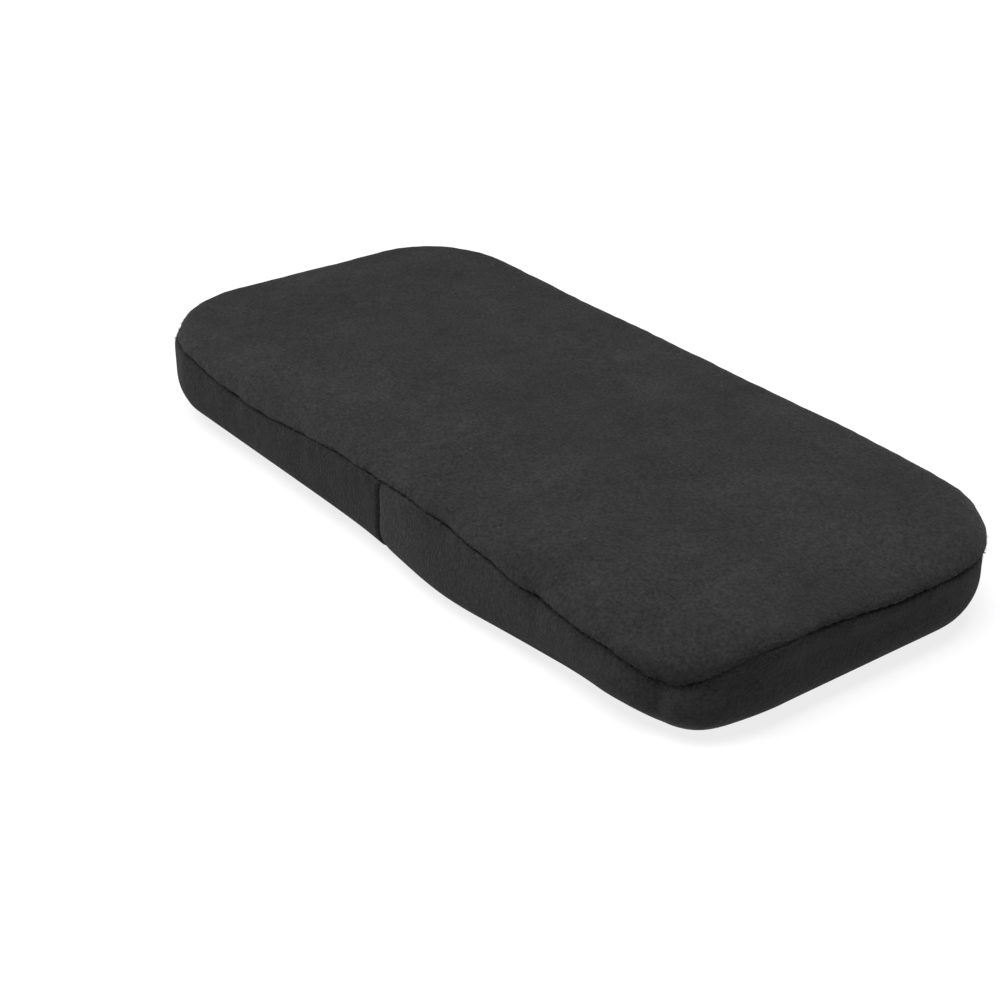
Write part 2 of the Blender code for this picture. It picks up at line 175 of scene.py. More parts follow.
# The zip
ZIP_WINDOW_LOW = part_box("zip_strip_lower")[1].z
ZIP_WINDOW_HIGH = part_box("zip_strip_upper")[0].z
COIL_WIRE = 0.00055
COIL_PITCH = 0.0014
COIL_STEPS = 14
METAL_EDGE = 0.00008

# Sewing
THREAD = 0.0003
STITCH = 0.0026
STITCH_GAP = 0.0006
STITCH_POINTS = 7
THREAD_SIDES = 7
SEAM_DEPTH = 0.0010
JOIN_POINTS = 20
TOPSTITCH_POINTS = 140

# Pile that stands up along the top seam: how many fibres, how far from it, and the share of them that is
# brushed up at the pad's right end
PILE_PER_METRE = 9000
PILE_REACH = 0.0019
PILE_BRUSHED = 0.5
PILE_BRUSHED_START = SIDE_X - 0.02
PILE_LENGTH = 0.0008
PILE_LENGTH_SHARES = (0.5, 1.2)
PILE_ROOT = 0.35
PILE_RISE = 0.6
PILE_LEAN = 0.55
PILE_SUNK = 0.0006
PILE_ASKEW = (0.3, 0.5, 0.81)
PILE_SIDES = 3
PILE_RADIUS = 0.00004

# Straps and grips
STRAP_RIB = 0.0010
STRAP_RIB_DEPTH = 0.00007
STRAP_CELL = 0.00025
STRAP_EDGE = 0.0004
STRAP_CLEAR = 0.00008
STRAP_PRESSED_Z = 0.00062
STRAP_PRESS_RUN = 0.0015
STRAP_SEWN_Y = middle("strap_stitching_left_rear").y - 0.0045
STRAP_COLUMNS = 27
GRIP_RADIUS = 0.0011
GRIP_PITCH = 0.007
GRIP_CLEAR = 0.00003
GRIP_SIDES = 14

# Camera, light and floor
CAMERA_AZIMUTH = 52.1
CAMERA_ELEVATION = 28.35
CAMERA_DISTANCE = 0.510
CAMERA_AIM = Vector((0.0188, -0.0292, 0.015))
CAMERA_ROLL = -0.80
CAMERA_LENS = 69.2
SURROUND_LIGHT, SURROUND_SEEN = 0.09, 0.85
KEY_FROM, KEY_POWER = (0.05, -0.32, 1.0), 55
FILL_FROM, FILL_POWER = (0.25, -0.45, -1.0), 30
LIGHT_DISTANCE, LIGHT_SIZE = 1.6, 1.2
FLOOR_SIZE = 12
FLOOR_PLACE = (1.5, 0, -0.0002)
FLOOR_GLOW = 0.82


# ---------------------------------------------------------------- materials


class Finish:
    """A material in one colour, and the nodes that vary it over the surface."""

    def __init__(self, name, colour, roughness, **sockets):
        self.material = bpy.data.materials.new(name)
        self.material.use_nodes = True
        self.tree = self.material.node_tree
        self.shader = self.tree.nodes["Principled BSDF"]
        self.output = self.tree.nodes["Material Output"]
        self.colour = colour
        self.shader.inputs["Base Color"].default_value = (*colour, 1.0)
        self.shader.inputs["Roughness"].default_value = roughness
        for socket, value in sockets.items():
            self.shader.inputs[socket.replace("_", " ")].default_value = value
        self.relief = None

    def node(self, kind, **settings):
        """A new node with its settings."""
        node = self.tree.nodes.new(kind)
        for key, value in settings.items():
            setattr(node, key, value)
        return node

    def link(self, source, target):
        """Join one node's output to another's input."""
        self.tree.links.new(source, target)

    def place(self, scale, turn=(0, 0, 0)):
        """The object's own coordinates, turned and stretched."""
        mapping = self.node("ShaderNodeMapping")
        mapping.inputs["Rotation"].default_value = turn
        mapping.inputs["Scale"].default_value = scale
        self.link(self.node("ShaderNodeTexCoord").outputs["Object"], mapping.inputs["Vector"])
        return mapping.outputs["Vector"]

    def noise(self, size, detail=2.0, roughness=0.5, stretch=(1, 1, 1)):
        """Cloudy noise with features of a size in metres."""
        noise = self.node("ShaderNodeTexNoise")
        noise.inputs["Scale"].default_value = 1.0
        noise.inputs["Detail"].default_value = detail
        noise.inputs["Roughness"].default_value = roughness
        self.link(self.place([k / size for k in stretch]), noise.inputs["Vector"])
        return noise.outputs["Fac"]

    def cells(self, size):
        """Round cells of a size in metres."""
        cells = self.node("ShaderNodeTexVoronoi")
        cells.inputs["Scale"].default_value = 1.0
        self.link(self.place([1 / size] * 3), cells.inputs["Vector"])
        return cells.outputs["Distance"]

    def bands(self, pitch, direction):
        """Even ridges, one for each pitch along a direction."""
        bands = self.node("ShaderNodeTexWave")
        bands.inputs["Scale"].default_value = 1.0
        one_band = math.pi / 10
        turn = Vector(direction).rotation_difference(Vector((1, 0, 0))).to_euler()
        self.link(self.place([one_band / pitch] * 3, turn), bands.inputs["Vector"])
        return bands.outputs["Fac"]

    def spread(self, value, low, high, start=0.3, end=0.7):
        """A value that ran from start to end, made to run from low to high."""
        spread = self.node("ShaderNodeMapRange")
        self.link(value, spread.inputs["Value"])
        for socket, number in zip(("From Min", "From Max", "To Min", "To Max"), (start, end, low, high)):
            spread.inputs[socket].default_value = number
        return spread.outputs["Result"]

    def combine(self, operation, first, second):
        """Two outputs put together."""
        combined = self.node("ShaderNodeMath", operation=operation)
        self.link(first, combined.inputs[0])
        self.link(second, combined.inputs[1])
        return combined.outputs["Value"]

    def shade(self, *factors):
        """Vary the colour's lightness by the product of some factors."""
        factor = factors[0]
        for other in factors[1:]:
            factor = self.combine("MULTIPLY", factor, other)
        tint = self.node("ShaderNodeVectorMath", operation="SCALE")
        tint.inputs[0].default_value = self.colour
        self.link(factor, tint.inputs["Scale"])
        self.link(tint.outputs["Vector"], self.shader.inputs["Base Color"])

    def wear(self, mask, colour):
        """Show another colour where a mask is one."""
        mix = self.node("ShaderNodeMix", data_type="RGBA")
        first_colour, second_colour, mixed_colour = mix.inputs[6], mix.inputs[7], mix.outputs[2]
        shaded = self.shader.inputs["Base Color"].links[0].from_socket
        self.link(mask, mix.inputs["Factor"])
        self.link(shaded, first_colour)
        second_colour.default_value = (*colour, 1.0)
        self.link(mixed_colour, self.shader.inputs["Base Color"])

    def rough(self, value, low, high):
        """Vary the roughness."""
        self.link(self.spread(value, low, high), self.shader.inputs["Roughness"])

    def bump(self, value, depth):
        """Raise the surface by a value times a depth in metres, over the relief it has."""
        bump = self.node("ShaderNodeBump")
        bump.inputs["Distance"].default_value = depth
        self.link(value, bump.inputs["Height"])
        if self.relief is not None:
            self.link(self.relief, bump.inputs["Normal"])
        self.relief = bump.outputs["Normal"]
        self.link(self.relief, self.shader.inputs["Normal"])

    def edges(self, radius):
        """A mask that is one along sharp edges."""
        soft = self.node("ShaderNodeBevel")
        soft.inputs["Radius"].default_value = radius
        plain = self.node("ShaderNodeNewGeometry")
        dot = self.node("ShaderNodeVectorMath", operation="DOT_PRODUCT")
        self.link(soft.outputs["Normal"], dot.inputs[0])
        self.link(plain.outputs["Normal"], dot.inputs[1])
        return self.spread(dot.outputs["Value"], 1.0, 0.0, start=0.80, end=0.97)


def plush_finish(name, share):
    """Short-pile velour: tufts, patches where the nap is brushed another way, and a soft sheen.

    The share is how light the piece looks: below one it is painted shade, above one a painted highlight.
    """
    # Colour scaled by the share: painted shade or a painted highlight on a copy of the same plush.
    colour = (0.0168 * share, 0.0168 * share, 0.0170 * share)
    soft = {"Specular_IOR_Level": 0.1, "Sheen_Weight": 0.05 * share, "Sheen_Roughness": 0.45}
    plush = Finish(name, colour, 0.95, **soft)
    tufts = plush.noise(0.0009, detail=3.0, roughness=0.7)
    clumps = plush.noise(0.0032, detail=2.0, stretch=(1, 0.6, 1))
    patches = plush.noise(0.022, detail=2.0, roughness=0.5)
    plush.shade(
        plush.spread(tufts, 0.56, 1.44), plush.spread(clumps, 0.90, 1.10), plush.spread(patches, 0.85, 1.15)
    )
    lint = plush.spread(plush.noise(0.0013, detail=0.0), 0.0, 0.4, 0.84, 0.90)
    plush.wear(lint, (0.06, 0.06, 0.06))
    plush.bump(patches, 0.0009)
    plush.bump(clumps, 0.00024)
    plush.bump(tufts, 0.0005)
    return plush.material


def foam_finish():
    """Open-cell memory foam with fine pores."""
    foam = Finish("memory_foam", (0.72, 0.68, 0.55), 0.95, Specular_IOR_Level=0.2)
    pores = foam.cells(0.0009)
    foam.shade(foam.spread(pores, 0.75, 1.05), foam.spread(foam.noise(0.02), 0.94, 1.04))
    foam.bump(pores, 0.0006)
    return foam.material


def base_finish():
    """Close-knit base cloth in fine ribs."""
    cloth = Finish("base_cloth", (0.018, 0.018, 0.019), 0.85, Sheen_Weight=0.04)
    knit = cloth.combine("MULTIPLY", cloth.bands(0.0009, (1, 0, 0)), cloth.bands(0.0012, (0, 1, 0)))
    tone = cloth.noise(0.018, detail=3.0)
    fuzz = cloth.noise(0.0005)
    cloth.shade(
        cloth.spread(knit, 0.7, 1.25, 0.0, 1.0), cloth.spread(tone, 0.88, 1.12), cloth.spread(fuzz, 0.9, 1.1)
    )
    cloth.rough(tone, 0.8, 0.9)
    cloth.bump(knit, 0.00025)
    cloth.bump(fuzz, 0.0001)
    return cloth.material


def grip_finish():
    """Soft silicone print, a little dusty."""
    grip = Finish("silicone_grip", (0.032, 0.032, 0.034), 0.45)
    dust = grip.noise(0.004, detail=3.0)
    grip.shade(grip.spread(dust, 0.85, 1.2))
    grip.rough(dust, 0.35, 0.55)
    grip.bump(grip.noise(0.0004), 0.00004)
    return grip.material


def elastic_finish():
    """Woven elastic: fine warp lines along the strap over its cross ribs."""
    elastic = Finish("elastic", (0.014, 0.014, 0.015), 0.75, Sheen_Weight=0.05)
    warp = elastic.bands(0.0008, (1, 0, 0))
    tone = elastic.noise(0.008, detail=3.0)
    elastic.shade(
        elastic.spread(warp, 0.75, 1.2, 0.0, 1.0),
        elastic.spread(elastic.bands(STRAP_RIB, (0, 1, 0)), 0.85, 1.1, 0.0, 1.0),
        elastic.spread(tone, 0.88, 1.12),
    )
    elastic.rough(tone, 0.68, 0.82)
    elastic.bump(warp, 0.00012)
    elastic.bump(elastic.noise(0.0003), 0.00006)
    return elastic.material


def thread_finish():
    """Spun polyester thread with a low shine."""
    thread = Finish("thread", (0.024, 0.024, 0.025), 0.5, Sheen_Weight=0.08)
    strands = thread.bands(0.00022, (1, 1, 1))
    tone = thread.noise(0.003)
    thread.shade(thread.spread(strands, 0.8, 1.2, 0.0, 1.0), thread.spread(tone, 0.85, 1.15))
    thread.rough(tone, 0.42, 0.6)
    thread.bump(strands, 0.00005)
    return thread.material


def tape_finish():
    """Zip tape in a fine twill."""
    tape = Finish("zip_tape", (0.012, 0.012, 0.013), 0.8, Sheen_Weight=0.05)
    weave = tape.combine("MAXIMUM", tape.bands(0.0006, (1, 0, 1)), tape.bands(0.0006, (1, 0, -1)))
    tone = tape.noise(0.01, detail=3.0)
    tape.shade(tape.spread(weave, 0.7, 1.25, 0.2, 1.0), tape.spread(tone, 0.85, 1.15))
    tape.rough(tone, 0.72, 0.86)
    tape.bump(weave, 0.00012)
    return tape.material


def nylon_finish():
    """The zip coil's smooth nylon."""
    nylon = Finish("zip_nylon", (0.016, 0.016, 0.017), 0.35)
    tone = nylon.noise(0.004, detail=3.0)
    nylon.shade(nylon.spread(tone, 0.85, 1.2))
    nylon.rough(tone, 0.28, 0.42)
    nylon.bump(nylon.noise(0.0003), 0.00002)
    return nylon.material


def metal_finish():
    """Black enamelled zinc, worn through a little along its edges."""
    metal = Finish("zip_metal", (0.030, 0.030, 0.032), 0.32, Specular_IOR_Level=0.6)
    tone = metal.noise(0.003, detail=4.0, roughness=0.6)
    metal.shade(metal.spread(tone, 0.85, 1.2))
    worn = metal.combine("MULTIPLY", metal.edges(0.00025), metal.spread(tone, 0.0, 0.8, 0.45, 0.7))
    metal.wear(worn, (0.30, 0.29, 0.28))
    metal.rough(tone, 0.25, 0.42)
    metal.bump(metal.noise(0.0006, detail=3.0), 0.00002)
    return metal.material


# ---------------------------------------------------------------- camera, light and floor


def make_camera():
    """The camera, looking at the pad's near corner from above."""
    camera = bpy.data.objects.new("camera", bpy.data.cameras.new("camera"))
    bpy.context.collection.objects.link(camera)
    camera.data.lens = CAMERA_LENS
    camera.data.sensor_width = 36.0
    camera.data.clip_start = 0.01
    azimuth, elevation = math.radians(CAMERA_AZIMUTH), math.radians(CAMERA_ELEVATION)
    level = math.cos(elevation)
    back = Vector((math.sin(azimuth) * level, -math.cos(azimuth) * level, math.sin(elevation)))
    turn = back.to_track_quat("Z", "Y").to_matrix().to_4x4()
    roll = Matrix.Rotation(math.radians(-CAMERA_ROLL), 4, "Z")
    camera.matrix_world = Matrix.Translation(CAMERA_AIM + back * CAMERA_DISTANCE) @ turn @ roll
    bpy.context.scene.camera = camera


def area_light(name, direction, power):
    """A square soft light that faces the pad from a direction."""
    light = bpy.data.lights.new(name, "AREA")
    light.size = LIGHT_SIZE
    light.energy = power
    obj = bpy.data.objects.new(name, light)
    bpy.context.collection.objects.link(obj)
    away = Vector(direction).normalized()
    obj.location = away * LIGHT_DISTANCE
    obj.rotation_euler = away.to_track_quat("Z", "Y").to_euler()


def make_light():
    """A large soft key light high in front of the pad, and a surround that is pale but lights it dimly.

    A fill light under the floor reaches only the straps, when they are pulled down through it.
    """
    world = bpy.data.worlds.new("studio")
    world.use_nodes = True
    nodes, links = world.node_tree.nodes, world.node_tree.links
    strength = nodes.new("ShaderNodeMapRange")
    strength.inputs["To Min"].default_value = SURROUND_LIGHT
    strength.inputs["To Max"].default_value = SURROUND_SEEN
    links.new(nodes.new("ShaderNodeLightPath").outputs["Is Camera Ray"], strength.inputs["Value"])
    links.new(strength.outputs["Result"], nodes["Background"].inputs["Strength"])
    nodes["Background"].inputs["Color"].default_value = (1.0, 1.0, 1.0, 1.0)
    bpy.context.scene.world = world
    bpy.context.scene.view_settings.view_transform = "Standard"
    area_light("key", KEY_FROM, KEY_POWER)
    area_light("fill", FILL_FROM, FILL_POWER)


def make_floor():
    """A plain pale floor that glows a little, and that is clear when seen from below.

    It lies off centre, so that the line between its two triangles doesn't run under the pad.
    """
    bpy.ops.mesh.primitive_plane_add(size=FLOOR_SIZE, location=FLOOR_PLACE)
    floor = bpy.context.object
    floor.name = "floor"
    pale = Finish("floor", (0.15, 0.15, 0.15), 0.9)
    pale.shader.inputs["Emission Color"].default_value = (1.0, 1.0, 1.0, 1.0)
    pale.shader.inputs["Emission Strength"].default_value = FLOOR_GLOW
    side = pale.node("ShaderNodeNewGeometry")
    clear = pale.node("ShaderNodeBsdfTransparent")
    mix = pale.node("ShaderNodeMixShader")
    pale.link(side.outputs["Backfacing"], mix.inputs["Fac"])
    pale.link(pale.shader.outputs["BSDF"], mix.inputs[1])
    pale.link(clear.outputs["BSDF"], mix.inputs[2])
    pale.link(mix.outputs["Shader"], pale.output.inputs["Surface"])
    floor.data.materials.append(pale.material)


# ---------------------------------------------------------------- the pad's surface


def outline_table(steps=400):
    """The widest plan outline as points with outward normals, from the middle of the front towards +X."""
    corners = ((1, -1), (1, 1), (-1, 1), (-1, -1))
    points, normals = [], []
    for quarter, (side_x, side_y) in enumerate(corners):
        angles = (quarter - 1 + np.linspace(0, 1, steps)) * math.pi / 2
        normal = np.stack([np.cos(angles), np.sin(angles)], 1)
        points.append(np.array([side_x * SIDE_X, side_y * SIDE_Y]) + CORNER_RADIUS * normal)
        normals.append(normal)
    front, facing = np.array([[0.0, -HALF_WIDTH]]), np.array([[0.0, -1.0]])
    points = np.concatenate([front, *points, front])
    normals = np.concatenate([facing, *normals, facing])
    lengths = np.linalg.norm(np.diff(points, axis=0), axis=1)
    return np.concatenate([[0], np.cumsum(lengths)]), points, normals


OUTLINE = outline_table()


def outline(u):
    """Points and outward normals u metres round the widest outline."""
    at, points, normals = OUTLINE
    along = np.mod(u, AROUND) * (at[-1] / AROUND)
    point = np.stack([np.interp(along, at, points[:, k]) for k in (0, 1)], -1)
    normal = np.stack([np.interp(along, at, normals[:, k]) for k in (0, 1)], -1)
    return point, normal / np.linalg.norm(normal, axis=-1, keepdims=True)


def rear(x):
    """How far round the pad a point on its rear side is."""
    return AROUND / 2 - x


def inside_by(x, y):
    """How far inside the widest outline a point in plan is."""
    past_x, past_y = np.abs(x) - SIDE_X, np.abs(y) - SIDE_Y
    corner = np.hypot(np.maximum(past_x, 0), np.maximum(past_y, 0))
    return CORNER_RADIUS - corner - np.minimum(np.maximum(past_x, past_y), 0)


def section(s):
    """The side's section: inset, height and normal (out, up), s metres down from the flat top's edge."""
    s = np.asarray(s, float)
    over = np.clip(s, 0, TOP_ARC) / TOP_ROUND
    under = np.clip(s - TOP_ARC - WALL, 0, BASE_ARC) / BASE_ROUND
    wall = np.clip(s - TOP_ARC, 0, WALL)
    inward = np.clip(-s, 0, None) + np.clip(s - SECTION, 0, None)
    rounding = np.where(under > 0, BASE_ROUND * (1 - np.cos(under)), TOP_ROUND * (1 - np.sin(over)))
    z = HEIGHT - TOP_ROUND * (1 - np.cos(over)) - wall - BASE_ROUND * np.sin(under)
    out = np.where(under > 0, np.cos(under), np.sin(over))
    up = np.where(under > 0, -np.sin(under), np.cos(over))
    return rounding + inward, z, out, up


def down_to(z):
    """How far down the section a height is."""
    z = np.asarray(z, float)
    over = np.arccos(np.clip(1 - (HEIGHT - z) / TOP_ROUND, -1, 1)) * TOP_ROUND
    under = TOP_ARC + WALL + np.arcsin(np.clip((BASE_ROUND - z) / BASE_ROUND, 0, 1)) * BASE_ROUND
    wall = TOP_ARC + (HEIGHT - TOP_ROUND - z)
    return np.where(z > HEIGHT - TOP_ROUND, over, np.where(z > BASE_ROUND, wall, under))


def swell(u, at, reach):
    """One where u is at a place round the pad, fading to nothing over the reach."""
    apart = np.abs(np.mod(u - at + AROUND / 2, AROUND) - AROUND / 2)
    return np.exp(-((apart / reach) ** 2))


def groove_share(u):
    """How much of its depth the groove along a seam keeps."""
    uneven = 1 - FILLED_UNEVEN * np.clip(0.5 + 0.6 * waves(u[..., None], FILLED_WAVE, seed=11), 0, 1)
    return uneven * (1 - FILLED_SHARE * swell(u, FILLED_AT, FILLED_REACH))


def top_seam(u):
    """How far down the section the top seam runs."""
    return down_to(TOP_SEAM_Z - sum(depth * swell(u, at, reach) for at, depth, reach in SEAM_SAGS))


def level(z):
    """A line at one height round the cover, as how far down the section it runs."""
    return lambda u: np.full(np.shape(u), float(down_to(z)))


base_seam = level(BASE_SEAM_Z)


def smooth(value, start, end):
    """Zero before start and one after end, with a smooth rise between."""
    share = np.clip((value - start) / (end - start), 0, 1)
    return share * share * (3 - 2 * share)


def waves(points, length, seed, count=14):
    """Smooth noise of about -1 to 1, with hollows and rises about half a length across."""
    rng = np.random.default_rng(seed)
    total = np.zeros(points.shape[:-1])
    for _ in range(count):
        direction = rng.normal(size=points.shape[-1])
        direction *= rng.uniform(0.6, 1.5) / np.linalg.norm(direction)
        total += np.sin(points @ direction * (2 * math.pi / length) + rng.uniform(0, 2 * math.pi))
    return total / math.sqrt(count / 2) / 1.6


def strap_bed(point):
    """How deep the base cloth is pressed up where a strap lies on it."""
    bed = np.zeros(point.shape[:-1])
    for node in ("strap_left", "strap_right"):
        low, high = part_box(node)
        beside = np.maximum(low.x - point[..., 0], point[..., 0] - high.x)
        beyond = np.abs(point[..., 1]) - high.y
        bed = np.maximum(bed, 1 - smooth(np.maximum(beside, beyond), PRESS_START, PRESS_END))
    return bed * (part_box("strap_left")[1].z + PRESS_DEPTH)


def swelling(points):
    """How far the stuffing moves points of the cover, from the simulated cloth around them."""
    tree, moves = SWELL
    flat = points.reshape(-1, 3)
    result = np.zeros_like(flat)
    for index, point in enumerate(flat):
        near = tree.find_n(point, STUFFING_NEIGHBOURS)
        weight = np.exp(-((np.array([distance for _, _, distance in near]) / STUFFING_VOXEL) ** 2)) + 1e-9
        result[index] = weight @ moves[[k for _, k, _ in near]] / weight.sum()
    return result.reshape(points.shape)


def droop(point):
    """How far the top falls away, less so lower down the side."""
    fall = 0
    for x, y, depth, reach_x, reach_y in DROOPS:
        fall += depth * np.exp(-(((point[..., 0] - x) / reach_x) ** 2) - ((point[..., 1] - y) / reach_y) ** 2)
    return fall * smooth(point[..., 2], DROOP_FROM, DROOP_TO)


def stuffed(point, normal, lift):
    """Raise points on the block to the stuffed cover's surface."""
    facing_up = normal[..., 2]
    crown = CROWN * smooth(inside_by(point[..., 0], point[..., 1]), TOP_ROUND, HALF_WIDTH)
    uneven = UNEVEN * waves(point, UNEVEN_WAVE, seed=2)
    lift = lift + crown * (facing_up > 0.5) + uneven * (facing_up > -0.5)
    result = point + normal * lift[..., None]
    result[..., 2] -= droop(result)
    if SWELL:
        result = result + swelling(result)
    result[..., 2] += smooth(-facing_up, 0.5, 1.0) * np.maximum(BASE_CLOTH_Z, strap_bed(point))
    result[..., 2] = np.maximum(result[..., 2], BASE_CLOTH_Z)
    return result


def seam_relief(u, s):
    """How far the cover stands out between its seams and is drawn in along them."""
    above_seam = top_seam(u) - s
    valley = VALLEY * (1 + 0.5 * waves(u[..., None], VALLEY_WAVE, seed=4))
    valley = valley + sum(depth * swell(u, at, reach) for at, depth, reach in VALLEY_DEEP)
    reach = np.where(above_seam > 0, VALLEY_ABOVE, VALLEY_BELOW)
    lift = -valley * groove_share(u) * np.exp(-np.abs(above_seam) / reach)
    lift = lift - BASE_VALLEY * np.exp(-np.abs(s - base_seam(u)) / BASE_VALLEY_REACH)
    from_join = np.abs(u - JOIN_X) / JOIN_VALLEY_REACH + np.maximum(s - base_seam(u), 0) / JOIN_VALLEY_END
    lift = lift - JOIN_VALLEY * np.exp(-from_join) * (above_seam < 0)
    tuck = BAND_TUCK * swell(u, BAND_TUCK_AT, BAND_TUCK_REACH) * groove_share(u) * (above_seam < 0)
    lift = lift - tuck * np.exp(above_seam / BAND_TUCK_DOWN)
    pucker = waves(np.stack([u, s * PUCKER_STRETCH], -1), PUCKER_WAVE, seed=9)
    lift = lift + PUCKER * pucker * np.exp(-np.abs(above_seam) / PUCKER_REACH)
    for at, down, height, reach_round, reach_down in FULL_PLACES:
        lift = lift + height * swell(u, at, reach_round) * np.exp(-(((s - down) / reach_down) ** 2))
    return lift


def block(u, s):
    """Points on the plain block and its normals."""
    u, s = np.broadcast_arrays(np.asarray(u, float), np.asarray(s, float))
    plan, outward = outline(u)
    inset, z, out, up = section(s)
    point = np.concatenate([plan - outward * inset[..., None], z[..., None]], -1)
    return point, np.concatenate([outward * out[..., None], up[..., None]], -1)


def surface(u, s):
    """Points on the stuffed cover, and the block's normals there."""
    u, s = np.broadcast_arrays(np.asarray(u, float), np.asarray(s, float))
    point, normal = block(u, s)
    return stuffed(point, normal, seam_relief(u, s)), normal


# ---------------------------------------------------------------- meshes


def mesh_object(name, points, faces, sharp_angle=None):
    """A smooth-shaded object from points and faces."""
    mesh = bpy.data.meshes.new(name)
    mesh.from_pydata(points.tolist(), [], faces)
    mesh.shade_smooth()
    if sharp_angle is not None:
        mesh.set_sharp_from_angle(angle=math.radians(sharp_angle))
    obj = bpy.data.objects.new(name, mesh)
    bpy.context.collection.objects.link(obj)
    return obj


def grid_faces(rows, columns, wrap):
    """Quads over a grid of points, joined round if it wraps."""
    index = np.arange(rows * columns).reshape(rows, columns)
    left = index if wrap else index[:, :-1]
    right = np.roll(index, -1, axis=1) if wrap else index[:, 1:]
    return np.stack([left[:-1], left[1:], right[1:], right[:-1]], -1).reshape(-1, 4)


def fill_middle(u, s, side):
    """The flat middle of the top (side 1) or base (side -1), inside the ring of places (u, s).

    It gives the middle's own points and its triangles, which count the ring's points before them.
    """
    plan, outward = outline(u)
    inset = float(section(s)[0])
    ring = plan - outward * inset
    rise = CELL * math.sqrt(3) / 2
    x = np.arange(-HALF_LENGTH, HALF_LENGTH, CELL)
    y = np.arange(-HALF_WIDTH, HALF_WIDTH, rise)
    grid = np.stack(np.meshgrid(x, y), -1)
    grid[1::2, :, 0] += CELL / 2
    grid = grid.reshape(-1, 2)
    grid = grid[inside_by(grid[:, 0], grid[:, 1]) > inset + CELL * 0.6]
    points = [Vector(point) for point in np.concatenate([ring, grid])]
    border = [(k, (k + 1) % len(ring)) for k in range(len(ring))]
    triangles = np.array(delaunay_2d_cdt(points, border, [], 1, 1e-7)[2])
    height = np.full((len(grid), 1), HEIGHT if side > 0 else 0.0)
    normal = np.broadcast_to([0.0, 0.0, float(side)], (len(grid), 3))
    filled = stuffed(np.concatenate([grid, height], 1), normal, np.zeros(len(grid)))
    return filled, triangles if side > 0 else triangles[:, ::-1]


def thicken(obj, thickness=CLOTH_SHOWN):
    """Give cloth its thickness, on the inner side."""
    modifier = obj.modifiers.new("cloth", "SOLIDIFY")
    modifier.thickness = thickness
    modifier.offset = -1
    return obj


def rolled_edge():
    """How far in from a cut edge, and how deep, each row of cloth lies as it rolls into its seam."""
    turn = np.linspace(0, math.pi / 2, 5)
    roll = [(EDGE_ROLL * (1 - math.cos(a)), EDGE_ROLL * (1 - math.sin(a))) for a in turn]
    return [(0.0, EDGE_TUCK)] + roll


def strip_rows(length, cells):
    """Distances across a strip of cloth and their depths, with both its edges rolled in."""
    start = rolled_edge()
    between = np.linspace(EDGE_ROLL, length - EDGE_ROLL, cells + 1)[1:-1]
    end = [(length - distance, depth) for distance, depth in reversed(start)]
    rows = np.array(start + [(distance, 0.0) for distance in between] + end)
    return rows[:, 0], rows[:, 1]


def band(name, u_start, u_end, s_start, s_end):
    """A strip of the cover between two places round the pad and two lines down its section."""
    length = u_end - u_start - 2 * SEAM_SPLIT
    along, along_depth = strip_rows(length, int(length / CELL))
    u = u_start + SEAM_SPLIT + along
    first, last = s_start(u) + SEAM_SPLIT, s_end(u) - SEAM_SPLIT
    width = (last - first).mean()
    across, across_depth = strip_rows(width, int(width / CELL))
    s = first + (last - first) * (across / width)[:, None]
    depth = np.maximum(across_depth[:, None] * groove_share(u), along_depth[None, :])
    point, normal = surface(u, s)
    point = (point - normal * depth[..., None]).reshape(-1, 3)
    return thicken(mesh_object(name, point, grid_faces(*s.shape, wrap=False).tolist()))


def panel(name, seam, side):
    """The top panel (side 1) or the base panel (side -1), from its rolled edge to its middle."""
    columns = 2 * int(AROUND / CELL / 2)
    u = np.arange(columns) * AROUND / columns
    edge = seam(u) - side * SEAM_SPLIT
    inner = -TOP_MARGIN if side > 0 else SECTION + BASE_MARGIN
    rim = rolled_edge()
    rim[0] = (0.0, EDGE_TUCK + BAND_TUCK)
    start = edge - side * EDGE_ROLL
    share = np.linspace(0, 1, int(abs(inner - start.mean()) / CELL) + 1)[1:]
    rows = [edge - side * distance for distance, _ in rim] + [start + (inner - start) * t for t in share]
    depth = np.array([depth for _, depth in rim] + [0.0] * len(share))[:, None] * groove_share(u)
    point, normal = surface(u, np.stack(rows))
    point = (point - normal * depth[..., None]).reshape(-1, 3)
    faces = grid_faces(len(rows), columns, wrap=True)
    middle_points, triangles = fill_middle(u, inner, side)
    faces = (faces[:, ::-1] if side > 0 else faces).tolist()
    faces += (triangles + (len(rows) - 1) * columns).tolist()
    return thicken(mesh_object(name, np.concatenate([point, middle_points]), faces))


def closed_form(name, inset):
    """The whole pad as one closed surface, inset from the cover."""
    columns = 2 * int(AROUND / CELL / 2)
    u = np.arange(columns) * AROUND / columns
    s = np.arange(-TOP_MARGIN, SECTION + BASE_MARGIN, CELL)
    point, normal = surface(u, s[:, None])
    point = (point - normal * inset).reshape(-1, 3)
    top, top_faces = fill_middle(u, s[0], 1)
    base, base_faces = fill_middle(u, s[-1], -1)
    last_ring = (len(s) - 1) * columns
    top_faces = np.where(top_faces < columns, top_faces, top_faces + last_ring)
    base_faces = np.where(base_faces < columns, base_faces + last_ring, base_faces + last_ring + len(top))
    top, base = top - [0, 0, inset], base + [0, 0, inset]
    faces = grid_faces(len(s), columns, wrap=True).tolist() + top_faces.tolist() + base_faces.tolist()
    return mesh_object(name, np.concatenate([point, top, base]), faces)


